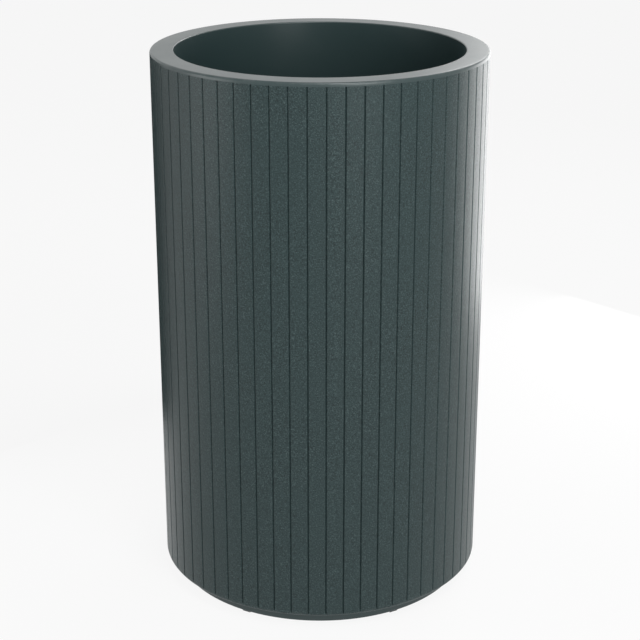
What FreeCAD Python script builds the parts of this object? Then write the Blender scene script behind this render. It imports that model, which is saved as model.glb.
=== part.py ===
import FreeCAD, Part

import os

import Sketcher

# A tall round planter of glass-fibre laminate, in millimetres. It has two walls: a grooved outer
# wall and a smooth inner liner that carries the flat rim. A floor panel with plugged drain holes
# closes the two below, a recessed foot ring on rubber pads carries them, and a loose shelf rests
# on ledges half way up. The axis is +Z, the front faces -Y, and the origin is on the floor.

SIZES = {
    "overall_height": (762, "floor to the top of the rim"),
    "outer_diameter": (457, "across the outer wall, between grooves"),
    "rim_width": (32, "flat rim, from the outer wall's face to the planting space"),
    "rim_thickness": (5.5, "laminate of the flat rim"),
    "rim_outer_bevel": (2.2, "bevel of the rim's outer top edge"),
    "rim_inner_bevel": (1.5, "bevel of the rim's inner top edge"),
    "liner_thickness": (4, "laminate of the inner liner"),
    "wall_thickness": (5, "laminate of the outer wall"),
    "groove_count": (60, "vertical grooves round the outer wall"),
    "groove_width": (2.4, "mouth of a groove"),
    "groove_depth": (2, "from the outer face to the bottom of the vee"),
    "groove_phase": (2, "degrees from +X to the first groove"),
    "groove_end_margin": (3, "from the wall's lower edge up to the end of a groove"),
    "wall_edge_bevel": (2.2, "bevel of the outer wall's lower edge"),
    "turn_in_width": (44, "from the outer face to the inner edge of the wall's turned-in foot flange"),
    "turn_in_thickness": (5, "laminate of that flange"),
    "foot_height": (22, "floor to the outer wall's lower edge"),
    "foot_recess": (18, "from the outer wall's face in to the foot ring's face"),
    "foot_width": (20, "foot ring, measured along a radius"),
    "foot_edge_bevel": (1.5, "bevel of the foot ring's lower outer edge"),
    "pad_count": (6, "rubber pads under the foot ring"),
    "pad_width": (13, "square rubber pad, each way"),
    "pad_proud": (3, "part of a pad that stands below the foot ring"),
    "pad_socket_depth": (2, "part of a pad that is let into the foot ring"),
    "pad_bevel": (0.8, "bevel of a pad's lower edges"),
    "panel_thickness": (6, "laminate of the floor panel"),
    "locating_ring_height": (9, "ring on the floor panel that centres the liner"),
    "locating_ring_width": (4, "thickness of that ring"),
    "drain_count": (3, "drain holes, with a plug each"),
    "drain_diameter": (20, "drain hole"),
    "drain_circle": (220, "diameter of the circle through the drain holes"),
    "sink_diameter": (38, "shallow recess round a drain hole"),
    "sink_depth": (1.5, "depth of that recess"),
    "plug_taper": (1.2, "radius that a plug's stem loses towards its tip"),
    "plug_tail": (3, "part of a stem that stands out below the floor panel"),
    "plug_flange_diameter": (30, "flange that seals on the floor panel"),
    "plug_flange_thickness": (3.5, "that flange"),
    "pull_tab_width": (16, "tab on a plug's flange"),
    "pull_tab_height": (12, "tab on a plug's flange"),
    "pull_tab_thickness": (3, "tab on a plug's flange"),
    "shelf_drop": (380, "from the rim's top down to the shelf's top"),
    "shelf_thickness": (8, "loose shelf"),
    "shelf_bevel": (1.5, "bevel of the shelf's top edge"),
    "shelf_hole_rings": (2, "rings of drain holes in the shelf"),
    "shelf_holes_first_ring": (4, "holes in the innermost ring; each next ring has as many more"),
    "shelf_hole_diameter": (14, "drain hole in the shelf"),
    "shelf_hole_margin": (70, "from the shelf's edge in to its outermost ring of holes"),
    "grip_count": (2, "finger holes to lift the shelf by"),
    "grip_diameter": (28, "finger hole"),
    "grip_margin": (34, "from the shelf's edge in to a finger hole's centre"),
    "bracket_count": (4, "ledges under the shelf"),
    "bracket_width": (44, "ledge, measured round the wall"),
    "bracket_height": (40, "ledge, down the wall"),
    "bracket_reach": (24, "ledge, in from the wall"),
    "bracket_thickness": (4, "laminate of a ledge"),
    "bracket_bevel": (1.2, "bevel of a ledge's free edge"),
    "bond_line": (0.3, "adhesive between curved faces that are bonded"),
    "plug_clearance": (0.3, "between a plug's stem and its hole, along a radius"),
    "rest_gap": (0.3, "under a piece that only rests, so that it lifts freely"),
    "shelf_clearance": (4, "between the shelf's edge and the liner"),
}

# Lengths that several pieces share, worked out from the sizes above.
OUTER_RADIUS = "Sizes.outer_diameter / 2"
SPACE_RADIUS = "(Sizes.outer_diameter / 2 - Sizes.rim_width)"
WALL_INNER_RADIUS = "(Sizes.outer_diameter / 2 - Sizes.wall_thickness)"
TURN_IN_RADIUS = "(Sizes.outer_diameter / 2 - Sizes.turn_in_width)"
FOOT_RADIUS = "(Sizes.outer_diameter / 2 - Sizes.foot_recess)"
FOOT_MIDDLE_RADIUS = "(Sizes.outer_diameter / 2 - Sizes.foot_recess - Sizes.foot_width / 2)"
PAD_INNER_RADIUS = f"({FOOT_MIDDLE_RADIUS} - Sizes.pad_width / 2)"
PAD_OUTER_RADIUS = f"({FOOT_MIDDLE_RADIUS} + Sizes.pad_width / 2)"
DRAIN_RADIUS = "Sizes.drain_circle / 2"
SHELF_RADIUS = f"({SPACE_RADIUS} - Sizes.shelf_clearance)"
BONDED_RADIUS = f"({SPACE_RADIUS} - Sizes.bond_line)"

PAD_TOP = "(Sizes.pad_proud + Sizes.pad_socket_depth)"
RIM_UNDERSIDE = "(Sizes.overall_height - Sizes.rim_thickness)"
PANEL_BOTTOM = "(Sizes.foot_height + Sizes.turn_in_thickness)"
PANEL_TOP = f"({PANEL_BOTTOM} + Sizes.panel_thickness)"
SINK_FLOOR = f"({PANEL_TOP} - Sizes.sink_depth)"
SHELF_BOTTOM = "(Sizes.overall_height - Sizes.shelf_drop - Sizes.shelf_thickness)"
LEDGE_TOP = f"({SHELF_BOTTOM} - Sizes.rest_gap)"

FULL_TURN = 360
NEAR = 1e-4
LARGEST_SHARE_OF_A_WALL = 0.45

doc = FreeCAD.newDocument("planter")
sheet = doc.addObject("Spreadsheet::Sheet", "Sizes")


def fill_sheet():
    """One row for each size: its name, its value under that alias, and what it measures."""
    for row, (name, (size, meaning)) in enumerate(SIZES.items(), start=1):
        sheet.set(f"A{row}", name)
        sheet.set(f"B{row}", str(size))
        sheet.set(f"C{row}", meaning)
        sheet.setAlias(f"B{row}", name)
    doc.recompute()


def value(expression):
    """What an expression in the sheet's aliases comes to."""
    return float(sheet.evalExpression(expression))


def limited(rounding, wall):
    """A rounding that stays within what its wall leaves room for."""
    return f"min({rounding}; {LARGEST_SHARE_OF_A_WALL} * ({wall}))"


def new_body(label):
    body = doc.addObject("PartDesign::Body", label)
    body.Label = label
    return body


def origin_feature(body, role):
    return next(feature for feature in body.Origin.OriginFeatures if feature.Role == role)


def new_sketch(body, name, plane, height=None):
    """A sketch on one of the body's own planes, raised along its normal by an expression."""
    sketch = body.newObject("Sketcher::SketchObject", name)
    sketch.AttachmentSupport = [(origin_feature(body, plane), "")]
    sketch.MapMode = "FlatFace"
    if height is not None:
        sketch.setExpression("AttachmentOffset.Base.z", height)
    return sketch


def pin_point(sketch, shape, end, across, up):
    """Fixes one end of a side, or a circle's centre, at two expressions. "0" is on the axis."""
    for kind, axis, expression in (("DistanceX", -2, across), ("DistanceY", -1, up)):
        if expression == "0":
            sketch.addConstraint(Sketcher.Constraint("PointOnObject", shape, end, axis))
            continue
        rule = Sketcher.Constraint(kind, -1, 1, shape, end, value(expression))
        sketch.setExpression(f"Constraints[{sketch.addConstraint(rule)}]", expression)


def draw_outline(sketch, corners):
    """A closed outline of straight sides, each corner given as two expressions."""
    places = [FreeCAD.Vector(value(across), value(up), 0) for across, up in corners]
    for start, end in zip(places, places[1:] + places[:1]):
        sketch.addGeometry(Part.LineSegment(start, end))
    for side, (across, up) in enumerate(corners):
        following = (side + 1) % len(corners)
        sketch.addConstraint(Sketcher.Constraint("Coincident", side, 2, following, 1))
        pin_point(sketch, side, 1, across, up)


def draw_strip(sketch, near, far, half_width, upright=False):
    """A rectangle from near to far along one axis of the sketch, even about that axis."""
    corners = [(near, half_width), (far, half_width)]
    if upright:
        corners = [(up, across) for across, up in corners]
    axis = -2 if upright else -1
    first, second = [FreeCAD.Vector(value(across), value(up), 0) for across, up in corners]
    mirrored = [FreeCAD.Vector(-end.x, end.y, 0) if upright else FreeCAD.Vector(end.x, -end.y, 0)
                for end in (second, first)]
    places = [first, second] + mirrored
    for start, end in zip(places, places[1:] + places[:1]):
        sketch.addGeometry(Part.LineSegment(start, end))
    for side in range(len(places)):
        following = (side + 1) % len(places)
        sketch.addConstraint(Sketcher.Constraint("Coincident", side, 2, following, 1))
    for side, (across, up) in enumerate(corners):
        pin_point(sketch, side, 1, across, up)
    sketch.addConstraint(Sketcher.Constraint("Symmetric", 1, 1, 1, 2, axis))
    sketch.addConstraint(Sketcher.Constraint("Symmetric", 3, 2, 3, 1, axis))


def draw_circle(sketch, radius, across="0"):
    """A circle centred on the sketch's first axis. Its radius and place are expressions."""
    centre = FreeCAD.Vector(value(across), 0, 0)
    circle = sketch.addGeometry(Part.Circle(centre, FreeCAD.Vector(0, 0, 1), value(radius)))
    pin_point(sketch, circle, 3, across, "0")
    rule = sketch.addConstraint(Sketcher.Constraint("Radius", circle, value(radius)))
    sketch.setExpression(f"Constraints[{rule}]", radius)


def revolve(body, name, corners, angle=None):
    """Turns an outline in the XZ plane about Z: all the way, or evenly about the plane."""
    sketch = new_sketch(body, f"{name}_outline", "XZ_Plane")
    draw_outline(sketch, corners)
    turned = body.newObject("PartDesign::Revolution", name)
    turned.Profile = sketch
    turned.ReferenceAxis = (sketch, ["V_Axis"])
    turned.Angle = FULL_TURN
    if angle is not None:
        turned.Midplane = True
        turned.setExpression("Angle", angle)
    doc.recompute()
    return turned


def circular_edges(base, places):
    """The names of base's circular edges whose radius and height are the given expressions."""
    wanted = [(value(edge_radius), value(height)) for edge_radius, height in places]
    edges = []
    for number, edge in enumerate(base.Shape.Edges, start=1):
        if not isinstance(edge.Curve, Part.Circle):
            continue
        found = (edge.Curve.Radius, edge.Curve.Center.z)
        if any(abs(found[0] - r) < NEAR and abs(found[1] - z) < NEAR for r, z in wanted):
            edges.append(f"Edge{number}")
    if len(edges) < len(wanted):
        raise RuntimeError(f"{base.Label}: an edge to soften is missing")
    return edges


def bevel_edges(body, name, base, size, places):
    bevel = body.newObject("PartDesign::Chamfer", name)
    bevel.Base = (base, circular_edges(base, places))
    bevel.setExpression("Size", size)
    doc.recompute()
    return bevel


def cut_down(body, name, sketch, depth=None):
    """Cuts a sketch's outline downwards, to a depth or right through."""
    before = body.Shape.Volume
    cut = body.newObject("PartDesign::Pocket", name)
    cut.Profile = sketch
    if depth is None:
        cut.Type = "ThroughAll"
    else:
        cut.setExpression("Length", depth)
    doc.recompute()
    if not cut.Shape.Volume < before - NEAR:
        raise RuntimeError(f"{name} cuts nothing")
    return cut


def repeat_round(body, name, feature, count):
    """Repeats a feature evenly round the body's Z axis."""
    pattern = body.newObject("PartDesign::PolarPattern", name)
    pattern.Originals = [feature]
    pattern.Axis = (origin_feature(body, "Z_Axis"), [""])
    pattern.Angle = FULL_TURN
    pattern.setExpression("Occurrences", count)
    body.Tip = pattern
    doc.recompute()
    return pattern


def turn_about_axis(body, angle):
    body.Placement = FreeCAD.Placement(FreeCAD.Vector(), FreeCAD.Rotation(FreeCAD.Vector(0, 0, 1), 1))
    body.setExpression("Placement.Rotation.Angle", angle)


def set_out_on_circle(body, radius, angle):
    body.setExpression("Placement.Base.x", f"{radius} * cos({angle})")
    body.setExpression("Placement.Base.y", f"{radius} * sin({angle})")


def make_outer_wall():
    """A straight shell with a turned-in flange below and vee grooves all round."""
    body = new_body("outer_wall")
    shell = revolve(body, "shell", [
        (TURN_IN_RADIUS, "Sizes.foot_height"),
        (OUTER_RADIUS, "Sizes.foot_height"),
        (OUTER_RADIUS, RIM_UNDERSIDE),
        (WALL_INNER_RADIUS, RIM_UNDERSIDE),
        (WALL_INNER_RADIUS, PANEL_BOTTOM),
        (TURN_IN_RADIUS, PANEL_BOTTOM),
    ])
    lower_edge = limited("Sizes.wall_edge_bevel", "2 * Sizes.turn_in_thickness")
    bevel_edges(body, "lower_edge", shell, lower_edge, [(OUTER_RADIUS, "Sizes.foot_height")])

    groove_start = "Sizes.foot_height + Sizes.groove_end_margin"
    vee = new_sketch(body, "vee", "XY_Plane", groove_start)
    tip = FreeCAD.Vector(value(f"{OUTER_RADIUS} - Sizes.groove_depth"), 0, 0)
    reach = value(f"{OUTER_RADIUS} + Sizes.groove_depth")
    left = FreeCAD.Vector(reach, value("Sizes.groove_width"), 0)
    right = FreeCAD.Vector(reach, -value("Sizes.groove_width"), 0)
    for start, end in ((tip, left), (left, right), (right, tip)):
        vee.addGeometry(Part.LineSegment(start, end))
    for side in range(3):
        vee.addConstraint(Sketcher.Constraint("Coincident", side, 2, (side + 1) % 3, 1))
    # The vee runs on past the face by its own depth, where it is twice as wide as its mouth.
    pin_point(vee, 0, 1, f"{OUTER_RADIUS} - Sizes.groove_depth", "0")
    pin_point(vee, 1, 1, f"{OUTER_RADIUS} + Sizes.groove_depth", "Sizes.groove_width")
    vee.addConstraint(Sketcher.Constraint("Symmetric", 1, 1, 1, 2, -1))

    plain_volume = body.Shape.Volume
    groove = body.newObject("PartDesign::Pocket", "groove")
    groove.Profile = vee
    groove.Type = "ThroughAll"
    groove.Reversed = True
    doc.recompute()
    if not groove.Shape.Volume < plain_volume - NEAR:
        raise RuntimeError("the groove cuts nothing")
    repeat_round(body, "grooves", groove, "Sizes.groove_count")
    turn_about_axis(body, "Sizes.groove_phase")


def make_inner_liner():
    """The smooth inner wall, with the flat rim moulded on its top."""
    body = new_body("inner_liner")
    liner_outer = f"({SPACE_RADIUS} + Sizes.liner_thickness)"
    wall = revolve(body, "wall_and_rim", [
        (SPACE_RADIUS, PANEL_TOP),
        (liner_outer, PANEL_TOP),
        (liner_outer, RIM_UNDERSIDE),
        (OUTER_RADIUS, RIM_UNDERSIDE),
        (OUTER_RADIUS, "Sizes.overall_height"),
        (SPACE_RADIUS, "Sizes.overall_height"),
    ])
    outer_edge = bevel_edges(
        body, "rim_outer_edge", wall,
        limited("Sizes.rim_outer_bevel", "2 * Sizes.rim_thickness"),
        [(OUTER_RADIUS, "Sizes.overall_height")])
    bevel_edges(
        body, "rim_inner_edge", outer_edge,
        limited("Sizes.rim_inner_bevel", "Sizes.liner_thickness"),
        [(SPACE_RADIUS, "Sizes.overall_height")])


def make_base_panel():
    """The floor: a disc on the outer wall's flange, with drain holes and a ring for the liner."""
    body = new_body("base_panel")
    ring_inner = f"({BONDED_RADIUS} - Sizes.locating_ring_width)"
    ring_top = f"({PANEL_TOP} + Sizes.locating_ring_height)"
    panel_radius = f"({WALL_INNER_RADIUS} - Sizes.bond_line)"
    revolve(body, "panel_and_ring", [
        ("0", PANEL_BOTTOM),
        (panel_radius, PANEL_BOTTOM),
        (panel_radius, PANEL_TOP),
        (BONDED_RADIUS, PANEL_TOP),
        (BONDED_RADIUS, ring_top),
        (ring_inner, ring_top),
        (ring_inner, PANEL_TOP),
        ("0", PANEL_TOP),
    ])
    sink_circle = new_sketch(body, "sink_circle", "XY_Plane", PANEL_TOP)
    draw_circle(sink_circle, "Sizes.sink_diameter / 2", across=DRAIN_RADIUS)
    sink = cut_down(body, "sink", sink_circle, "Sizes.sink_depth")
    repeat_round(body, "sinks", sink, "Sizes.drain_count")
    drain_circle = new_sketch(body, "drain_circle", "XY_Plane", PANEL_TOP)
    draw_circle(drain_circle, "Sizes.drain_diameter / 2", across=DRAIN_RADIUS)
    drain = cut_down(body, "drain", drain_circle)
    repeat_round(body, "drains", drain, "Sizes.drain_count")


def make_foot_ring():
    """The recessed plinth ring, bonded under the flange, with a socket for each rubber pad."""
    body = new_body("foot_ring")
    inner = f"({FOOT_RADIUS} - Sizes.foot_width)"
    ring = revolve(body, "ring", [
        (inner, "Sizes.pad_proud"),
        (FOOT_RADIUS, "Sizes.pad_proud"),
        (FOOT_RADIUS, "Sizes.foot_height"),
        (inner, "Sizes.foot_height"),
    ])
    bevel_edges(body, "lower_edge", ring,
                limited("Sizes.foot_edge_bevel", "Sizes.foot_width - Sizes.pad_width"),
                [(FOOT_RADIUS, "Sizes.pad_proud")])
    socket_outline = new_sketch(body, "socket_outline", "XY_Plane", PAD_TOP)
    draw_strip(socket_outline, f"{PAD_INNER_RADIUS} - Sizes.bond_line",
               f"{PAD_OUTER_RADIUS} + Sizes.bond_line", "Sizes.pad_width / 2 + Sizes.bond_line")
    socket = cut_down(body, "socket", socket_outline)
    repeat_round(body, "sockets", socket, "Sizes.pad_count")


def make_foot_pads():
    """Square rubber pads in the foot ring's sockets."""
    for number in range(int(value("Sizes.pad_count"))):
        body = new_body(f"foot_pad_{number + 1}")
        outline = new_sketch(body, "pad_outline", "XY_Plane")
        draw_strip(outline, PAD_INNER_RADIUS, PAD_OUTER_RADIUS, "Sizes.pad_width / 2")
        pad = body.newObject("PartDesign::Pad", "pad")
        pad.Profile = outline
        pad.setExpression("Length", PAD_TOP)
        doc.recompute()
        lower_edges = [f"Edge{number}" for number, edge in enumerate(pad.Shape.Edges, start=1)
                       if edge.BoundBox.ZMax < NEAR]
        bevel = body.newObject("PartDesign::Chamfer", "pad_edges")
        bevel.Base = (pad, lower_edges)
        bevel.setExpression("Size", limited("Sizes.pad_bevel", "Sizes.pad_proud"))
        doc.recompute()
        turn_about_axis(body, f"{number} * {FULL_TURN} / Sizes.pad_count")


def make_drain_plugs():
    """Rubber plugs: a tapered stem in the drain hole, a sealing flange and a tab to pull."""
    stem = "(Sizes.drain_diameter / 2 - Sizes.plug_clearance)"
    stem_tip = f"({stem} - Sizes.plug_taper)"
    flange = "Sizes.plug_flange_diameter / 2"
    tip = f"({PANEL_BOTTOM} - Sizes.plug_tail)"
    seat = f"({SINK_FLOOR} + Sizes.rest_gap)"
    flange_top = f"({seat} + Sizes.plug_flange_thickness)"
    inside_flange = f"({flange_top} - Sizes.plug_flange_thickness / 2)"
    tab_top = f"({flange_top} + Sizes.pull_tab_height)"
    for number in range(int(value("Sizes.drain_count"))):
        body = new_body(f"drain_plug_{number + 1}")
        revolve(body, "plug", [
            ("0", tip),
            (stem_tip, tip),
            (stem, seat),
            (flange, seat),
            (flange, flange_top),
            ("0", flange_top),
        ])
        tab_outline = new_sketch(body, "tab_outline", "XZ_Plane")
        draw_strip(tab_outline, inside_flange, tab_top, "Sizes.pull_tab_width / 2", upright=True)
        tab = body.newObject("PartDesign::Pad", "tab")
        tab.Profile = tab_outline
        tab.Midplane = True
        tab.setExpression("Length", "Sizes.pull_tab_thickness")
        doc.recompute()
        round_tab_corners(body, tab, value(tab_top))
        set_out_on_circle(body, DRAIN_RADIUS, f"{number} * {FULL_TURN} / Sizes.drain_count")


def round_tab_corners(body, tab, tab_top):
    """Rounds the two upper corners of a plug's tab as far as its width allows."""
    corners = [f"Edge{number}" for number, edge in enumerate(tab.Shape.Edges, start=1)
               if edge.BoundBox.ZMin > tab_top - NEAR and edge.BoundBox.XLength < NEAR]
    rounding = body.newObject("PartDesign::Fillet", "tab_corners")
    rounding.Base = (tab, corners)
    rounding.setExpression("Radius", limited("Sizes.pull_tab_height", "Sizes.pull_tab_width"))
    doc.recompute()


def make_shelf():
    """A loose disc with rings of drain holes and finger holes to lift it by."""
    body = new_body("shelf")
    top = f"({SHELF_BOTTOM} + Sizes.shelf_thickness)"
    disc = revolve(body, "disc", [
        ("0", SHELF_BOTTOM),
        (SHELF_RADIUS, SHELF_BOTTOM),
        (SHELF_RADIUS, top),
        ("0", top),
    ])
    bevel_edges(body, "top_edge", disc, limited("Sizes.shelf_bevel", "Sizes.shelf_thickness"),
                [(SHELF_RADIUS, top)])

    middle_circle = new_sketch(body, "middle_circle", "XY_Plane", top)
    draw_circle(middle_circle, "Sizes.shelf_hole_diameter / 2")
    cut_down(body, "middle_hole", middle_circle)
    for ring in range(1, int(value("Sizes.shelf_hole_rings")) + 1):
        ring_radius = f"({SHELF_RADIUS} - Sizes.shelf_hole_margin) * {ring} / Sizes.shelf_hole_rings"
        circle = new_sketch(body, f"hole_circle_{ring}", "XY_Plane", top)
        draw_circle(circle, "Sizes.shelf_hole_diameter / 2", across=ring_radius)
        hole = cut_down(body, f"hole_{ring}", circle)
        repeat_round(body, f"holes_{ring}", hole, f"Sizes.shelf_holes_first_ring * {ring}")

    grip_circle = new_sketch(body, "grip_circle", "XY_Plane", top)
    draw_circle(grip_circle, "Sizes.grip_diameter / 2", across=f"{SHELF_RADIUS} - Sizes.grip_margin")
    grip = cut_down(body, "grip", grip_circle)
    repeat_round(body, "grips", grip, "Sizes.grip_count")
    # Turned so that the finger holes lie half way between two ledges.
    turn_about_axis(body, f"{FULL_TURN} / Sizes.bracket_count / 2")


def make_shelf_brackets():
    """Ledges bonded to the liner: a back that follows the wall, a shelf lip and a rib."""
    back_inner = f"({BONDED_RADIUS} - Sizes.bracket_thickness)"
    lip_end = f"({BONDED_RADIUS} - Sizes.bracket_reach)"
    foot = f"({LEDGE_TOP} - Sizes.bracket_height)"
    lip_underside = f"({LEDGE_TOP} - Sizes.bracket_thickness)"
    spread = f"Sizes.bracket_width / {SPACE_RADIUS} * 180 / pi"
    for number in range(int(value("Sizes.bracket_count"))):
        body = new_body(f"shelf_bracket_{number + 1}")
        ledge = revolve(body, "ledge", [
            (back_inner, foot),
            (BONDED_RADIUS, foot),
            (BONDED_RADIUS, LEDGE_TOP),
            (lip_end, LEDGE_TOP),
            (lip_end, lip_underside),
            (back_inner, lip_underside),
        ], angle=spread)
        bevel_edges(body, "lip_edge", ledge,
                    limited("Sizes.bracket_bevel", "Sizes.bracket_thickness"),
                    [(lip_end, LEDGE_TOP), (lip_end, lip_underside)])
        rib_outline = new_sketch(body, "rib_outline", "XZ_Plane")
        inside_back = f"({back_inner} + Sizes.bracket_thickness / 2)"
        inside_lip = f"({lip_underside} + Sizes.bracket_thickness / 2)"
        draw_outline(rib_outline, [
            (inside_back, f"({foot} + Sizes.bracket_thickness)"),
            (inside_back, inside_lip),
            (f"({lip_end} + Sizes.bracket_thickness)", inside_lip),
            (f"({lip_end} + Sizes.bracket_thickness)", lip_underside),
            (back_inner, f"({foot} + Sizes.bracket_thickness)"),
        ])
        rib = body.newObject("PartDesign::Pad", "rib")
        rib.Profile = rib_outline
        rib.Midplane = True
        rib.setExpression("Length", "Sizes.bracket_thickness")
        doc.recompute()
        turn_about_axis(body, f"{number} * {FULL_TURN} / Sizes.bracket_count")


def check_and_write():
    """Stops at anything that failed to build, then writes one file for each piece."""
    doc.recompute()
    for item in doc.Objects:
        if "Invalid" in item.State or "Error" in item.State:
            raise RuntimeError(f"{item.Label} failed: {item.State}")
    bodies = [item for item in doc.Objects if item.TypeId == "PartDesign::Body"]
    for body in bodies:
        if body.Shape.isNull() or not body.Shape.isValid() or len(body.Shape.Solids) != 1:
            raise RuntimeError(f"{body.Label} isn't one valid solid")
    os.makedirs("parts", exist_ok=True)
    for body in bodies:
        body.Shape.exportStep(f"parts/{body.Label}.step")
        box = body.Shape.BoundBox
        print(f"{body.Label:18s} {body.Shape.Volume / 1000:9.1f} cm3  "
              f"z {box.ZMin:7.2f} to {box.ZMax:7.2f}")


fill_sheet()
make_outer_wall()
make_inner_liner()
make_base_panel()
make_foot_ring()
make_foot_pads()
make_drain_plugs()
make_shelf()
make_shelf_brackets()
check_and_write()
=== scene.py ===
import math

import bmesh
import bpy
from bpy.props import FloatProperty, FloatVectorProperty, IntProperty, PointerProperty
from bpy.types import Operator, Panel, PropertyGroup
from mathutils import Matrix, Vector


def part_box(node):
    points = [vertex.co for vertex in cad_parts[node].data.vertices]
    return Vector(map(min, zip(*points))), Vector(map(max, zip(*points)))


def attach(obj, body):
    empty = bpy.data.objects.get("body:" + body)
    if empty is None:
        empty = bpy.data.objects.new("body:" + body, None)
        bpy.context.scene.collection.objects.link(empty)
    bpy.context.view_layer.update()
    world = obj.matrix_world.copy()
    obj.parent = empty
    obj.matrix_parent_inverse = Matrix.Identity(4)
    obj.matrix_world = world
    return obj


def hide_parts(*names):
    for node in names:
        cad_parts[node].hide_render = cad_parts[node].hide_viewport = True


bl_info = {
    "name": "Grooved planter",
    "version": (1, 0, 0),
    "blender": (4, 5, 0),
    "location": "View3D > Sidebar > Planter",
    "description": "Dresses a tall double-walled planter and sets it on a studio floor",
    "category": "Object",
}

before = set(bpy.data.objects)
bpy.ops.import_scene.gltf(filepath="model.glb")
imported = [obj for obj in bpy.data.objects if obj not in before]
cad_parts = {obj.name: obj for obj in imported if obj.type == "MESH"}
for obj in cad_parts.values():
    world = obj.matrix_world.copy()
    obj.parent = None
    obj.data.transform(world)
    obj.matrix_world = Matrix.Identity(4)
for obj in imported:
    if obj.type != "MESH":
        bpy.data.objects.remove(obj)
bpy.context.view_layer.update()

WALL_LOW, WALL_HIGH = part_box("outer_wall")
LINER_LOW, LINER_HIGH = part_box("inner_liner")
OUTER_RADIUS = WALL_HIGH.x
RIM_TOP = LINER_HIGH.z
LEDGES = sorted(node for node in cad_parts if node.startswith("shelf_bracket"))
PLUGS = sorted(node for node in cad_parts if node.startswith("drain_plug"))
PADS = sorted(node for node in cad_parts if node.startswith("foot_pad"))

NEAR = 1e-5
FULL_TURN = 2 * math.pi
UP = (0, 0, 1)
CENTRE = (0, 0, 0)
SHARP_CORNER = math.radians(38)
FLAT_FACE_WEIGHT = 80
WHITE = (1, 1, 1, 1)
SHARE_OF_FLOOR_SEEN_WHITE = 0.9

# The softboxes: name, bearing from the front in degrees turning towards +X, distance from the
# planter's axis, height of the middle, width, height of the face, watts, and height it aims at.
SOFTBOXES = (
    ("right_rear_softbox", 134, 1.15, 0.46, 0.9, 0.9, 7.5, 0.35),
    ("rim_softbox", 158, 2.2, 1.75, 0.9, 0.7, 10, 0.76),
    ("left_softbox", -74, 2.4, 0.45, 1.3, 1.2, 12, 0.25),
    ("front_softbox", 26, 3.0, 1.25, 1.2, 1.2, 34, 0.3),
    ("top_softbox", 18, 1.3, 2.2, 0.9, 0.9, 17, 0.7),
)


# ---------------------------------------------------------------- sizes and colours


class PlanterSizes(PropertyGroup):
    """Sizes of the moulded shapes that the frame's boxes don't give."""

    rim_width: FloatProperty(
        name="Rim width", description="Flat rim, from the outer face to the planting space",
        default=0.032, unit="LENGTH")
    rim_thickness: FloatProperty(
        name="Rim thickness", description="Laminate of the flat rim",
        default=RIM_TOP - WALL_HIGH.z, unit="LENGTH")
    rim_outer_rounding: FloatProperty(
        name="Rim outer rounding", description="Radius of the rim's outer top edge",
        default=0.003, unit="LENGTH")
    rim_inner_rounding: FloatProperty(
        name="Rim inner rounding", description="Radius of the rim's inner top edge",
        default=0.0016, unit="LENGTH")
    liner_thickness: FloatProperty(
        name="Liner thickness", description="Laminate of the inner wall",
        default=0.004, unit="LENGTH")
    wall_thickness: FloatProperty(
        name="Wall thickness", description="Laminate of the grooved wall",
        default=0.005, unit="LENGTH")
    turn_in_width: FloatProperty(
        name="Turn-in width",
        description="From the outer face to the inner edge of the flange below",
        default=0.044, unit="LENGTH")
    turn_in_thickness: FloatProperty(
        name="Turn-in thickness", description="Laminate of the flange below",
        default=0.005, unit="LENGTH")
    lower_rounding: FloatProperty(
        name="Lower rounding", description="Radius of the grooved wall's lower edge",
        default=0.003, unit="LENGTH")
    groove_count: IntProperty(
        name="Grooves", description="Vertical grooves round the wall", default=60, min=3)
    groove_width: FloatProperty(
        name="Groove width", description="Mouth of a groove", default=0.0024, unit="LENGTH")
    groove_depth: FloatProperty(
        name="Groove depth", description="From the face to the bottom of a groove",
        default=0.002, unit="LENGTH")
    groove_phase: FloatProperty(
        name="Groove phase", description="From +X round to the first groove",
        default=math.radians(2), unit="ROTATION")
    groove_end_margin: FloatProperty(
        name="Groove end margin", description="From the wall's lower edge up to a groove's end",
        default=0.003, unit="LENGTH")
    groove_run_out: FloatProperty(
        name="Groove run-out", description="Length over which a groove's end rises to the face",
        default=0.0018, unit="LENGTH")
    lip_rounding: FloatProperty(
        name="Lip rounding", description="Softening of a groove's lips and bottom",
        default=0.00035, unit="LENGTH")
    edge_softening: FloatProperty(
        name="Edge softening", description="Softening of moulded and sawn edges",
        default=0.0006, unit="LENGTH")
    rubber_softening: FloatProperty(
        name="Rubber softening", description="Softening of the rubber pieces' edges",
        default=0.0009, unit="LENGTH")


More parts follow.
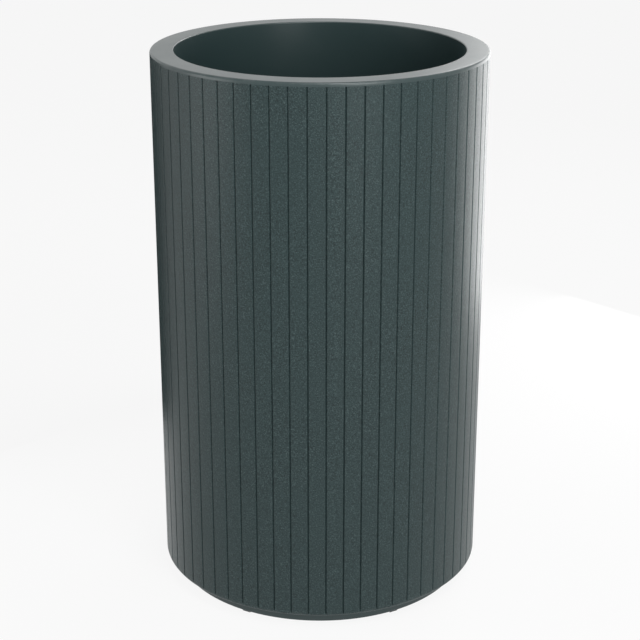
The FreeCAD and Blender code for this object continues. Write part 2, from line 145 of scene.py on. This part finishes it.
class PlanterFinish(PropertyGroup):
    """Colours of the finishes, as they are under plain light."""

    wall: FloatVectorProperty(
        name="Wall", description="Pigmented laminate of the sandy outer wall",
        default=(0.0290, 0.0500, 0.0510), subtype="COLOR", size=3, min=0, max=1)
    wall_grit: FloatVectorProperty(
        name="Wall grit", description="Paler grains in the sandy face",
        default=(0.0720, 0.1080, 0.1090), subtype="COLOR", size=3, min=0, max=1)
    # Groove: the darker colour of the painted shade in the bottoms of the grooves; the sandy
    # face's pits take it too.
    groove: FloatVectorProperty(
        name="Groove", description="Bottom of the grooves, where grime settles",
        default=(0.0160, 0.0260, 0.0270), subtype="COLOR", size=3, min=0, max=1)
    gelcoat: FloatVectorProperty(
        name="Gelcoat", description="Smooth face of the rim, liner and foot",
        default=(0.0300, 0.0530, 0.0540), subtype="COLOR", size=3, min=0, max=1)
    scuff: FloatVectorProperty(
        name="Scuff", description="Fine rubbed marks on smooth faces",
        default=(0.1150, 0.1350, 0.1350), subtype="COLOR", size=3, min=0, max=1)
    dust: FloatVectorProperty(
        name="Dust", description="Thin dust on faces that look up",
        default=(0.2300, 0.2350, 0.2250), subtype="COLOR", size=3, min=0, max=1)
    raw_laminate: FloatVectorProperty(
        name="Raw laminate", description="Unfinished side of the laminate",
        default=(0.0500, 0.0600, 0.0560), subtype="COLOR", size=3, min=0, max=1)
    strand: FloatVectorProperty(
        name="Strand", description="Glass strands that show in the unfinished side",
        default=(0.1250, 0.1400, 0.1280), subtype="COLOR", size=3, min=0, max=1)
    board: FloatVectorProperty(
        name="Board", description="Black plastic board of the loose shelf",
        default=(0.0220, 0.0230, 0.0230), subtype="COLOR", size=3, min=0, max=1)
    rubber: FloatVectorProperty(
        name="Rubber", description="Black rubber of the pads and plugs",
        default=(0.0140, 0.0140, 0.0145), subtype="COLOR", size=3, min=0, max=1)


class PlanterStage(PropertyGroup):
    """Where the camera stands, the surround and the floor."""

    camera_distance: FloatProperty(
        name="Camera distance", description="From the planter's axis, along the floor",
        default=2.1617, unit="LENGTH")
    camera_height: FloatProperty(
        name="Camera height", description="Above the floor", default=1.1727, unit="LENGTH")
    camera_tilt: FloatProperty(
        name="Camera tilt", description="Below level",
        default=math.radians(20.358), unit="ROTATION")
    camera_lens: FloatProperty(
        name="Lens", description="Focal length, in millimetres", default=90.75)
    sky: FloatProperty(
        name="Surround", description="Strength of the plain surround", default=0.25)
    floor_width: FloatProperty(
        name="Floor width", description="Of the square studio floor", default=16, unit="LENGTH")


# ---------------------------------------------------------------- shapes


def ring_section(corners):
    """A closed outline in the XZ plane, from (radius, height) corners."""
    shape = bmesh.new()
    points = [shape.verts.new((radius, 0, height)) for radius, height in corners]
    for first, second in zip(points, points[1:] + points[:1]):
        shape.edges.new((first, second))
    return shape


def turn(shape, geometry, angle, steps, **options):
    """Turns geometry about the planter's axis and returns what the last step made."""
    made = bmesh.ops.spin(shape, geom=geometry, cent=CENTRE, axis=UP, angle=angle, steps=steps,
                          **options)
    return made["geom_last"]


def close_up(shape):
    bmesh.ops.remove_doubles(shape, verts=shape.verts, dist=NEAR)
    bmesh.ops.recalc_face_normals(shape, faces=shape.faces)


def circle_edges(shape, radius, height):
    """The edges of the circle of that radius and height about the planter's axis."""
    def on_circle(vert):
        return abs(vert.co.xy.length - radius) < NEAR and abs(vert.co.z - height) < NEAR
    return [edge for edge in shape.edges if all(on_circle(vert) for vert in edge.verts)]


def round_off(shape, edges, radius, segments):
    bmesh.ops.bevel(shape, geom=edges, offset=radius, offset_type="OFFSET", affect="EDGES",
                    segments=segments, profile=0.5, material=-1, clamp_overlap=True)


def finish_piece(name, shape, material, body, nodes):
    """Makes the object, shades it smooth between its rounded edges and puts it on its body."""
    mesh = bpy.data.meshes.new(name)
    shape.to_mesh(mesh)
    shape.free()
    mesh.polygons.foreach_set("use_smooth", [True] * len(mesh.polygons))
    mesh.set_sharp_from_angle(angle=SHARP_CORNER)
    mesh.materials.append(material)
    piece = bpy.data.objects.new(name, mesh)
    bpy.context.scene.collection.objects.link(piece)
    evened = piece.modifiers.new("even shading", "WEIGHTED_NORMAL")
    evened.keep_sharp = True
    evened.weight = FLAT_FACE_WEIGHT
    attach(piece, body)
    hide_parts(*nodes)
    return piece


def softened_copy(node, softening, segments=2, corner=math.radians(25)):
    """A merged copy of a CAD node's mesh, with its corners rounded off a little."""
    shape = bmesh.new()
    shape.from_mesh(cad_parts[node].data)
    bmesh.ops.remove_doubles(shape, verts=shape.verts, dist=NEAR)
    bmesh.ops.dissolve_limit(shape, angle_limit=math.radians(0.4), use_dissolve_boundaries=False,
                             verts=shape.verts, edges=shape.edges)
    corners = [edge for edge in shape.edges
               if len(edge.link_faces) == 2 and edge.calc_face_angle(0) > corner]
    round_off(shape, corners, softening, segments)
    return shape


def grooved_wall_shape(sizes):
    """One groove and the land beside it, turned round to make the whole wall."""
    low, top = WALL_LOW.z, WALL_HIGH.z
    inner = OUTER_RADIUS - sizes.wall_thickness
    turn_in = OUTER_RADIUS - sizes.turn_in_width
    shelf = low + sizes.turn_in_thickness
    groove_end = low + sizes.groove_end_margin
    groove_full = groove_end + sizes.groove_run_out
    pitch = FULL_TURN / sizes.groove_count
    mouth = sizes.groove_width / OUTER_RADIUS
    land_steps, groove_steps = 4, 2

    shape = ring_section([
        (turn_in, low), (OUTER_RADIUS, low), (OUTER_RADIUS, groove_end),
        (OUTER_RADIUS, groove_full), (OUTER_RADIUS, top), (inner, top), (inner, shelf),
        (turn_in, shelf)])
    section = shape.verts[:] + shape.edges[:]
    land_end = turn(shape, section, pitch - mouth, land_steps)
    turn(shape, land_end, mouth, groove_steps)
    middle = pitch - mouth / 2
    for vert in shape.verts:
        around = math.atan2(vert.co.y, vert.co.x)
        on_face = abs(vert.co.xy.length - OUTER_RADIUS) < NEAR
        if on_face and abs(around - middle) < mouth / 4 and vert.co.z > groove_full - NEAR:
            vert.co.xy = vert.co.xy.normalized() * (OUTER_RADIUS - sizes.groove_depth)
    turn(shape, shape.verts[:] + shape.edges[:] + shape.faces[:], FULL_TURN - pitch,
         sizes.groove_count - 1, use_duplicate=True)
    close_up(shape)

    grooves = [edge for edge in shape.edges
               if abs(edge.verts[0].co.z - edge.verts[1].co.z) > (top - low) / 2
               and edge.calc_face_angle(0) > math.radians(20)]
    round_off(shape, grooves, sizes.lip_rounding, 2)
    round_off(shape, circle_edges(shape, OUTER_RADIUS, low), sizes.lower_rounding, 4)
    bmesh.ops.rotate(shape, cent=CENTRE, verts=shape.verts,
                     matrix=Matrix.Rotation(sizes.groove_phase - middle, 3, "Z"))
    return shape


def liner_shape(sizes):
    """The inner wall and the flat rim in one moulding."""
    space = OUTER_RADIUS - sizes.rim_width
    back = space + sizes.liner_thickness
    underside = RIM_TOP - sizes.rim_thickness
    steps = 240
    shape = ring_section([
        (space, LINER_LOW.z), (back, LINER_LOW.z), (back, underside),
        (OUTER_RADIUS, underside), (OUTER_RADIUS, RIM_TOP), (space, RIM_TOP)])
    turn(shape, shape.verts[:] + shape.edges[:], FULL_TURN, steps, use_merge=True)
    close_up(shape)
    round_off(shape, circle_edges(shape, OUTER_RADIUS, RIM_TOP), sizes.rim_outer_rounding, 4)
    round_off(shape, circle_edges(shape, space, RIM_TOP), sizes.rim_inner_rounding, 3)
    return shape


# ---------------------------------------------------------------- finishes


class NodeBench:
    """Lays out and joins the nodes of one tree."""

    def __init__(self, tree):
        self.tree = tree

    def add(self, kind, settings=None, inputs=None):
        """A node with its settings, and its inputs given as values or as other nodes' outputs."""
        node = self.tree.nodes.new(kind)
        for name, value in (settings or {}).items():
            setattr(node, name, value)
        for name, value in (inputs or {}).items():
            if isinstance(value, bpy.types.NodeSocket):
                self.tree.links.new(value, node.inputs[name])
            else:
                node.inputs[name].default_value = value
        return node

    def maths(self, operation, first, second=0.0, third=0.0, clamp=False):
        node = self.add("ShaderNodeMath", {"operation": operation, "use_clamp": clamp},
                        {0: first, 1: second, 2: third})
        return node.outputs[0]

    def spread(self, value, low, high, to_low=0.0, to_high=1.0):
        """Maps low..high onto to_low..to_high, smoothly and no further."""
        node = self.add("ShaderNodeMapRange", {"interpolation_type": "SMOOTHSTEP"},
                        {"Value": value, "From Min": low, "From Max": high,
                         "To Min": to_low, "To Max": to_high})
        return node.outputs["Result"]

    def mix(self, factor, first, second):
        node = self.add("ShaderNodeMix", {"data_type": "RGBA"})
        for index, value in ((0, factor), (6, first), (7, second)):
            if isinstance(value, bpy.types.NodeSocket):
                self.tree.links.new(value, node.inputs[index])
            else:
                node.inputs[index].default_value = value
        return node.outputs[2]

    def noise(self, vector, scale, detail=3.0, roughness=0.55):
        node = self.add("ShaderNodeTexNoise", None,
                        {"Vector": vector, "Scale": scale, "Detail": detail,
                         "Roughness": roughness})
        return node.outputs["Fac"]

    def place(self):
        return self.add("ShaderNodeTexCoord").outputs["Object"]

    def stretched(self, vector, scale):
        return self.add("ShaderNodeMapping", None,
                        {"Vector": vector, "Scale": scale}).outputs["Vector"]


def new_group(name, inputs, outputs):
    """A shader node group with named float inputs, given with their defaults, and outputs."""
    group = bpy.data.node_groups.new(name, "ShaderNodeTree")
    for title, default in inputs.items():
        socket = group.interface.new_socket(title, in_out="INPUT", socket_type="NodeSocketFloat")
        socket.default_value = default
    for title in outputs:
        group.interface.new_socket(title, in_out="OUTPUT", socket_type="NodeSocketFloat")
    bench = NodeBench(group)
    return group, bench, bench.add("NodeGroupInput").outputs, bench.add("NodeGroupOutput")


def group_of(name, make):
    """The group of that name, built by make the first time it is asked for."""
    return bpy.data.node_groups.get(name) or make(name)


def make_grit(name):
    """Sandy relief of small round grains, with masks of the grains that stand out and the pits."""
    group, bench, given, out = new_group(
        name, {"Grains per metre": 380.0, "Evenness": 0.5},
        ("Height", "Grains", "Pits", "Patches"))
    place = bench.place()
    coarse = bench.noise(place, given["Grains per metre"], 2.0, 0.6)
    fine = bench.noise(place, bench.maths("MULTIPLY", given["Grains per metre"], 2.7), 3.0, 0.6)
    broad = bench.noise(place, bench.maths("MULTIPLY", given["Grains per metre"], 0.2), 3.0)
    cells = bench.add("ShaderNodeTexVoronoi", {"feature": "F1"},
                      {"Vector": place, "Scale": given["Grains per metre"],
                       "Randomness": 1.0}).outputs["Distance"]
    domes = bench.maths("SUBTRACT", 1.0, cells)
    relief = bench.maths("MULTIPLY_ADD", fine, 0.35, bench.maths("MULTIPLY", domes, 0.4))
    grainy = bench.maths("MULTIPLY_ADD", coarse, 0.6, relief)
    height = bench.maths("MULTIPLY_ADD", broad, given["Evenness"], grainy)
    grains = bench.spread(coarse, 0.52, 0.70)
    pits = bench.spread(coarse, 0.32, 0.50, 1.0, 0.0)
    patches = bench.noise(place, 9.0, 2.0)
    for title, value in (("Height", height), ("Grains", grains), ("Pits", pits),
                         ("Patches", patches)):
        bench.tree.links.new(value, out.inputs[title])
    return group


def make_scuffs(name):
    """Long fine rubbed marks that run round the planter, broken into short lengths."""
    group, bench, given, out = new_group(
        name, {"Marks per metre": 90.0, "Amount": 0.5}, ("Marks",))
    place = bench.place()
    streaks = bench.noise(bench.stretched(place, (1.0, 1.0, 14.0)), given["Marks per metre"], 5.0,
                          0.7)
    breaks = bench.noise(place, 24.0, 2.0)
    threshold = bench.maths("SUBTRACT", 0.78, bench.maths("MULTIPLY", given["Amount"], 0.16))
    lines = bench.spread(streaks, threshold, bench.maths("ADD", threshold, 0.08))
    marks = bench.maths("MULTIPLY", lines, bench.spread(breaks, 0.5, 0.66), clamp=True)
    bench.tree.links.new(marks, out.inputs["Marks"])
    return group


def make_settled_dust(name):
    """Thin dust on faces that look up, mostly fine specks and a few faint drifts."""
    group, bench, given, out = new_group(name, {"Amount": 0.3}, ("Dust",))
    place = bench.place()
    facing = bench.add("ShaderNodeNewGeometry").outputs["Normal"]
    upward = bench.add("ShaderNodeSeparateXYZ", None, {"Vector": facing}).outputs["Z"]
    cover = bench.spread(upward, 0.35, 0.95)
    specks = bench.spread(bench.noise(place, 900.0, 3.0, 0.7), 0.52, 0.72)
    drifts = bench.spread(bench.noise(place, 11.0, 3.0, 0.5), 0.3, 0.8, 0.15, 0.5)
    layer = bench.maths("MULTIPLY_ADD", specks, 0.7, drifts)
    dust = bench.maths("MULTIPLY", bench.maths("MULTIPLY", cover, layer), given["Amount"],
                       clamp=True)
    bench.tree.links.new(dust, out.inputs["Dust"])
    return group


def make_rubbed_edge(name):
    """Wear along the circular edge at a radius and height, strongest on the edge itself."""
    group, bench, given, out = new_group(
        name, {"Radius": 0.2, "Height": 0.7, "Reach": 0.004}, ("Wear",))
    parts = bench.add("ShaderNodeSeparateXYZ", None, {"Vector": bench.place()}).outputs
    across = bench.maths("SQRT", bench.maths(
        "MULTIPLY_ADD", parts["X"], parts["X"], bench.maths("MULTIPLY", parts["Y"], parts["Y"])))
    aside = bench.maths("SUBTRACT", across, given["Radius"])
    above = bench.maths("SUBTRACT", parts["Z"], given["Height"])
    distance = bench.maths("SQRT", bench.maths(
        "MULTIPLY_ADD", aside, aside, bench.maths("MULTIPLY", above, above)))
    near_edge = bench.spread(distance, 0.0, given["Reach"], 1.0, 0.0)
    uneven = bench.spread(bench.noise(bench.place(), 55.0, 5.0, 0.7), 0.42, 0.66)
    bench.tree.links.new(bench.maths("MULTIPLY", near_edge, uneven), out.inputs["Wear"])
    return group


def make_painted_groove_shade(name):
    """Painted shade in the upright grooves: 1 in their bottoms, fading to 0 at their lips."""
    group, bench, given, out = new_group(
        name, {"Count": 60.0, "Phase": 0.0, "Half mouth": 0.005}, ("Groove",))
    parts = bench.add("ShaderNodeSeparateXYZ", None, {"Vector": bench.place()}).outputs
    around = bench.maths("SUBTRACT", bench.maths("ARCTAN2", parts["Y"], parts["X"]),
                         given["Phase"])
    pitch = bench.maths("DIVIDE", FULL_TURN, given["Count"])
    aside = bench.maths("PINGPONG", around, bench.maths("MULTIPLY", pitch, 0.5))
    mask = bench.spread(aside, 0.0, given["Half mouth"], 1.0, 0.0)
    bench.tree.links.new(mask, out.inputs["Groove"])
    return group


def make_strands(name):
    """Chopped glass strands lying every way under a thin skin of resin."""
    group, bench, given, out = new_group(
        name, {"Strands per metre": 60.0}, ("Strands", "Height"))
    place = bench.place()
    layers = []
    for turned in (0.4, 1.7, 2.9):
        spun = bench.add("ShaderNodeVectorRotate", {"rotation_type": "Z_AXIS"},
                         {"Vector": place, "Angle": turned}).outputs["Vector"]
        streaks = bench.noise(bench.stretched(spun, (1.0, 9.0, 3.0)),
                              given["Strands per metre"], 2.0, 0.6)
        layers.append(bench.spread(streaks, 0.56, 0.68))
    strands = bench.maths("MAXIMUM", layers[0], bench.maths("MAXIMUM", layers[1], layers[2]))
    bench.tree.links.new(strands, out.inputs["Strands"])
    bench.tree.links.new(strands, out.inputs["Height"])
    return group


def use_group(bench, name, make, inputs=None):
    node = bench.add("ShaderNodeGroup", {"node_tree": group_of(name, make)}, inputs)
    return node.outputs


def opaque(colour):
    return (*colour, 1.0)


def new_material(name):
    """A material with a Principled BSDF, and the bench to feed it with."""
    material = bpy.data.materials.new(name)
    material.use_nodes = True
    tree = material.node_tree
    return material, NodeBench(tree), tree.nodes["Principled BSDF"]


def feed(bench, shader, colour, roughness, height, strength, distance, shine):
    """Joins colour, roughness and relief to the shader, and sets its constants."""
    bump = bench.add("ShaderNodeBump", None,
                     {"Height": height, "Strength": strength, "Distance": distance})
    bench.tree.links.new(colour, shader.inputs["Base Color"])
    bench.tree.links.new(roughness, shader.inputs["Roughness"])
    bench.tree.links.new(bump.outputs["Normal"], shader.inputs["Normal"])
    shader.inputs["Specular IOR Level"].default_value = shine


def sandy_wall_material(sizes, finish):
    """Pigmented laminate with a sandy face, rubbed at its lower edge, with painted shade darkening
    its grooves.
    """
    material, bench, shader = new_material("sandy wall")
    grit = use_group(bench, "Grit", make_grit, {"Grains per metre": 560.0, "Evenness": 0.45})
    painted_shade = use_group(bench, "Painted groove shade", make_painted_groove_shade,
                      {"Count": float(sizes.groove_count), "Phase": sizes.groove_phase,
                       "Half mouth": sizes.groove_width / OUTER_RADIUS / 2})
    worn = use_group(bench, "Rubbed edge", make_rubbed_edge,
                     {"Radius": OUTER_RADIUS, "Height": WALL_LOW.z, "Reach": 0.008})
    grainy = bench.mix(bench.maths("MULTIPLY", grit["Grains"], 0.9),
                       opaque(finish.wall), opaque(finish.wall_grit))
    # The pits of the sandy relief take the darker groove colour.
    pitted = bench.mix(bench.maths("MULTIPLY", grit["Pits"], 0.95), grainy,
                       opaque(finish.groove))
    patched = bench.mix(bench.spread(grit["Patches"], 0.35, 0.7, 0.0, 0.3),
                        pitted, opaque(finish.gelcoat))
    rubbed = bench.mix(bench.maths("MULTIPLY", worn["Wear"], 0.35), patched,
                       opaque(finish.scuff))
    # Painted shade: the bottoms of the grooves are darkened a little towards the groove colour.
    colour = bench.mix(bench.maths("MULTIPLY", painted_shade["Groove"], 0.12), rubbed,
                       opaque(finish.groove))
    roughness = bench.maths("MULTIPLY_ADD", grit["Height"], 0.12, 0.24, clamp=True)
    feed(bench, shader, colour, roughness, grit["Height"],
         strength=0.55, distance=0.0006, shine=0.25)
    return material


def gelcoat_material(name, finish, edge_radius, edge_height):
    """Smooth satin laminate with a faint orange peel, fine scuffs and a rubbed edge."""
    material, bench, shader = new_material(name)
    peel = bench.noise(bench.place(), 260.0, 3.0, 0.5)
    cloud = bench.noise(bench.place(), 14.0, 4.0, 0.6)
    scuffs = use_group(bench, "Scuffs", make_scuffs, {"Amount": 0.55})["Marks"]
    dust = use_group(bench, "Settled dust", make_settled_dust, {"Amount": 0.10})["Dust"]
    wear = use_group(bench, "Rubbed edge", make_rubbed_edge,
                     {"Radius": edge_radius, "Height": edge_height, "Reach": 0.005})["Wear"]
    clouded = bench.mix(bench.spread(cloud, 0.35, 0.7, 0.0, 0.25), opaque(finish.gelcoat),
                        opaque(finish.wall))
    scuffed = bench.mix(bench.maths("MULTIPLY", scuffs, 0.25), clouded, opaque(finish.scuff))
    worn = bench.mix(bench.maths("MULTIPLY", wear, 0.35), scuffed, opaque(finish.scuff))
    colour = bench.mix(dust, worn, opaque(finish.dust))
    hazy = bench.maths("MULTIPLY_ADD", cloud, 0.12, 0.26)
    roughness = bench.maths("MULTIPLY_ADD", scuffs, 0.12, hazy, clamp=True)
    feed(bench, shader, colour, roughness, peel, strength=0.18, distance=0.0004, shine=0.5)
    return material


def raw_laminate_material(finish):
    """The unfinished side: glass strands under resin."""
    material, bench, shader = new_material("raw laminate")
    mat = use_group(bench, "Strands", make_strands, {"Strands per metre": 70.0})
    dust = use_group(bench, "Settled dust", make_settled_dust, {"Amount": 0.25})["Dust"]
    stranded = bench.mix(bench.maths("MULTIPLY", mat["Strands"], 0.55),
                         opaque(finish.raw_laminate), opaque(finish.strand))
    colour = bench.mix(dust, stranded, opaque(finish.dust))
    roughness = bench.maths("MULTIPLY_ADD", mat["Strands"], 0.18, 0.42, clamp=True)
    feed(bench, shader, colour, roughness, mat["Height"],
         strength=0.5, distance=0.0005, shine=0.45)
    return material


def board_material(finish):
    """Black plastic board with a fine pressed grain, scuffed and a little dusty."""
    material, bench, shader = new_material("shelf board")
    grain = use_group(bench, "Grit", make_grit, {"Grains per metre": 420.0, "Evenness": 0.2})
    scuffs = use_group(bench, "Scuffs", make_scuffs,
                       {"Marks per metre": 60.0, "Amount": 0.8})["Marks"]
    dust = use_group(bench, "Settled dust", make_settled_dust, {"Amount": 0.3})["Dust"]
    scuffed = bench.mix(bench.maths("MULTIPLY", scuffs, 0.4), opaque(finish.board),
                        opaque(finish.scuff))
    colour = bench.mix(dust, scuffed, opaque(finish.dust))
    roughness = bench.maths("MULTIPLY_ADD", grain["Height"], 0.14, 0.42, clamp=True)
    feed(bench, shader, colour, roughness, grain["Height"],
         strength=0.35, distance=0.0005, shine=0.45)
    return material


def rubber_material(finish):
    """Black rubber with a dull bloom."""
    material, bench, shader = new_material("black rubber")
    bloom = bench.noise(bench.place(), 160.0, 5.0, 0.65)
    fine = bench.noise(bench.place(), 1400.0, 2.0)
    dust = use_group(bench, "Settled dust", make_settled_dust, {"Amount": 0.35})["Dust"]
    bloomed = bench.mix(bench.spread(bloom, 0.45, 0.75, 0.0, 0.3), opaque(finish.rubber),
                        opaque(finish.scuff))
    colour = bench.mix(dust, bloomed, opaque(finish.dust))
    roughness = bench.maths("MULTIPLY_ADD", bloom, 0.25, 0.55, clamp=True)
    feed(bench, shader, colour, roughness, fine, strength=0.3, distance=0.0003, shine=0.35)
    return material


# ---------------------------------------------------------------- stage


def seen_rays(bench):
    """1 for the rays that look at the background: the camera's, reflected and through glass."""
    rays = bench.add("ShaderNodeLightPath").outputs
    looked_at = bench.maths("MAXIMUM", rays["Is Glossy Ray"], rays["Is Transmission Ray"])
    return bench.maths("MAXIMUM", rays["Is Camera Ray"], looked_at)


def dull_material(name, grey, roughness):
    """A material for the stage's own things, without shine."""
    material, bench, shader = new_material(name)
    shader.inputs["Base Color"].default_value = (grey, grey, grey, 1)
    shader.inputs["Roughness"].default_value = roughness
    shader.inputs["Specular IOR Level"].default_value = 0.0
    return material, bench, shader


def studio_floor_material():
    """A pale floor that is seen as near white, with the planter's soft shadow on it."""
    material, bench, shader = dull_material("studio floor", grey=0.8, roughness=0.9)
    tree = material.node_tree
    white = bench.add("ShaderNodeEmission", None, {"Color": WHITE, "Strength": 1.0})
    share = bench.maths("MULTIPLY", seen_rays(bench), SHARE_OF_FLOOR_SEEN_WHITE)
    blend = bench.add("ShaderNodeMixShader", None, {0: share})
    tree.links.new(shader.outputs["BSDF"], blend.inputs[1])
    tree.links.new(white.outputs["Emission"], blend.inputs[2])
    tree.links.new(blend.outputs["Shader"], tree.nodes["Material Output"].inputs["Surface"])
    return material


def make_surround(strength):
    """A plain surround: white to the camera, in reflections and through glass, dimmer as light."""
    world = bpy.data.worlds.new("studio surround")
    world.use_nodes = True
    bench = NodeBench(world.node_tree)
    level = bench.maths("MULTIPLY_ADD", seen_rays(bench), 1.0 - strength, strength)
    background = world.node_tree.nodes["Background"]
    background.inputs["Color"].default_value = WHITE
    world.node_tree.links.new(level, background.inputs["Strength"])
    bpy.context.scene.world = world


def add_softbox(name, bearing, distance, height, width, tall, power, aim_height):
    """An area lamp at a bearing from the front, turning towards +X, that faces the planter."""
    lamp = bpy.data.lights.new(name, "AREA")
    lamp.shape = "RECTANGLE"
    lamp.size = width
    lamp.size_y = tall
    lamp.energy = power
    box = bpy.data.objects.new(name, lamp)
    box.location = (distance * math.sin(bearing), -distance * math.cos(bearing), height)
    towards = Vector((0, 0, aim_height)) - box.location
    box.rotation_euler = towards.to_track_quat("-Z", "Y").to_euler()
    box.visible_camera = False
    bpy.context.scene.collection.objects.link(box)


def add_to_stage(name, shape, material):
    """Makes the object of a thing that isn't part of the planter."""
    mesh = bpy.data.meshes.new(name)
    shape.to_mesh(mesh)
    shape.free()
    mesh.materials.append(material)
    thing = bpy.data.objects.new(name, mesh)
    bpy.context.scene.collection.objects.link(thing)
    return thing


def add_flag(name, bearing, distance, width, tall):
    """A black flag standing on the floor, hidden from the camera, that darkens reflections."""
    shape = bmesh.new()
    bmesh.ops.create_grid(shape, x_segments=1, y_segments=1, size=0.5)
    bmesh.ops.scale(shape, vec=(width, tall, 1), verts=shape.verts)
    bmesh.ops.rotate(shape, cent=CENTRE, verts=shape.verts,
                     matrix=Matrix.Rotation(math.pi / 2, 3, "X"))
    bmesh.ops.translate(shape, vec=(0, -distance, tall / 2), verts=shape.verts)
    bmesh.ops.rotate(shape, cent=CENTRE, verts=shape.verts,
                     matrix=Matrix.Rotation(bearing, 3, "Z"))
    cloth = dull_material("flag cloth", grey=0.015, roughness=0.95)[0]
    add_to_stage(name, shape, cloth).visible_camera = False


def settings_of(context):
    scene = context.scene
    return scene.planter_sizes, scene.planter_finish, scene.planter_stage


# ---------------------------------------------------------------- operators


class PLANTER_OT_stage(Operator):
    """Set the camera, the pale floor, the surround, the softboxes and the flag"""

    bl_idname = "planter.stage"
    bl_label = "Studio stage"

    def execute(self, context):
        stage = settings_of(context)[2]
        scene = context.scene
        scene.view_settings.view_transform = "Standard"

        lens = bpy.data.cameras.new("camera")
        lens.lens = stage.camera_lens
        camera = bpy.data.objects.new("camera", lens)
        camera.location = (0, -stage.camera_distance, stage.camera_height)
        camera.rotation_euler = (math.pi / 2 - stage.camera_tilt, 0, 0)
        scene.collection.objects.link(camera)
        scene.camera = camera

        shape = bmesh.new()
        bmesh.ops.create_grid(shape, x_segments=1, y_segments=1, size=stage.floor_width / 2)
        add_to_stage("studio_floor", shape, studio_floor_material())

        make_surround(stage.sky)
        for name, bearing, *measures in SOFTBOXES:
            add_softbox(name, math.radians(bearing), *measures)
        add_flag("left_rear_flag", math.radians(-140), distance=0.62, width=0.62, tall=0.7)
        return {"FINISHED"}


class PLANTER_OT_outer_wall(Operator):
    """Make the grooved outer wall"""

    bl_idname = "planter.outer_wall"
    bl_label = "Grooved wall"

    def execute(self, context):
        sizes, finish, _ = settings_of(context)
        finish_piece("grooved_wall", grooved_wall_shape(sizes),
                     sandy_wall_material(sizes, finish), "planter",
                     ["outer_wall"])
        return {"FINISHED"}


class PLANTER_OT_liner(Operator):
    """Make the smooth inner wall with its flat rim"""

    bl_idname = "planter.liner"
    bl_label = "Liner and rim"

    def execute(self, context):
        sizes, finish, _ = settings_of(context)
        material = gelcoat_material("liner gelcoat", finish, OUTER_RADIUS, RIM_TOP)
        finish_piece("liner_and_rim", liner_shape(sizes), material, "planter",
                     ["inner_liner"])
        return {"FINISHED"}


class PLANTER_OT_foot(Operator):
    """Make the recessed foot ring and the rubber pads under it"""

    bl_idname = "planter.foot"
    bl_label = "Foot ring and pads"

    def execute(self, context):
        sizes, finish, _ = settings_of(context)
        low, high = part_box("foot_ring")
        material = gelcoat_material("foot gelcoat", finish, high.x, low.z)
        finish_piece("plinth_ring", softened_copy("foot_ring", sizes.edge_softening), material,
                     "planter", ["foot_ring"])
        rubber = rubber_material(finish)
        for number, pad in enumerate(PADS, start=1):
            finish_piece(f"pad_{number}", softened_copy(pad, sizes.rubber_softening, 3), rubber,
                         "planter", [pad])
        return {"FINISHED"}


class PLANTER_OT_floor_panel(Operator):
    """Make the floor panel and its three drain plugs"""

    bl_idname = "planter.floor_panel"
    bl_label = "Floor panel and plugs"

    def execute(self, context):
        sizes, finish, _ = settings_of(context)
        finish_piece("floor_panel", softened_copy("base_panel", sizes.edge_softening),
                     raw_laminate_material(finish), "planter", ["base_panel"])
        rubber = rubber_material(finish)
        for number, plug in enumerate(PLUGS, start=1):
            finish_piece(f"plug_{number}_rubber", softened_copy(plug, sizes.rubber_softening / 2),
                         rubber, f"plug_{number}", [plug])
        return {"FINISHED"}


class PLANTER_OT_shelf(Operator):
    """Make the loose shelf and the ledges under it"""

    bl_idname = "planter.shelf"
    bl_label = "Shelf and ledges"

    def execute(self, context):
        sizes, finish, _ = settings_of(context)
        finish_piece("shelf_board", softened_copy("shelf", sizes.edge_softening),
                     board_material(finish), "shelf", ["shelf"])
        laminate = raw_laminate_material(finish)
        for number, ledge in enumerate(LEDGES, start=1):
            finish_piece(f"ledge_{number}", softened_copy(ledge, sizes.edge_softening), laminate,
                         "planter", [ledge])
        return {"FINISHED"}


class PLANTER_PT_pieces(Panel):
    """Lists the planter's pieces in the sidebar"""

    bl_idname = "PLANTER_PT_pieces"
    bl_label = "Planter"
    bl_space_type = "VIEW_3D"
    bl_region_type = "UI"
    bl_category = "Planter"

    def draw(self, context):
        for operator in OPERATORS:
            self.layout.operator(operator.bl_idname)
        for settings in settings_of(context):
            box = self.layout.box()
            for name in settings.__annotations__:
                box.prop(settings, name)


OPERATORS = (
    PLANTER_OT_stage,
    PLANTER_OT_outer_wall,
    PLANTER_OT_liner,
    PLANTER_OT_foot,
    PLANTER_OT_floor_panel,
    PLANTER_OT_shelf,
)
CLASSES = (PlanterSizes, PlanterFinish, PlanterStage, *OPERATORS, PLANTER_PT_pieces)


def register():
    for item in CLASSES:
        bpy.utils.register_class(item)
    bpy.types.Scene.planter_sizes = PointerProperty(type=PlanterSizes)
    bpy.types.Scene.planter_finish = PointerProperty(type=PlanterFinish)
    bpy.types.Scene.planter_stage = PointerProperty(type=PlanterStage)


def unregister():
    for name in ("planter_sizes", "planter_finish", "planter_stage"):
        delattr(bpy.types.Scene, name)
    for item in reversed(CLASSES):
        bpy.utils.unregister_class(item)


def main():
    register()
    bpy.ops.planter.stage()
    bpy.ops.planter.outer_wall()
    bpy.ops.planter.liner()
    bpy.ops.planter.foot()
    bpy.ops.planter.floor_panel()
    bpy.ops.planter.shelf()


if __name__ == "__main__":
    main()
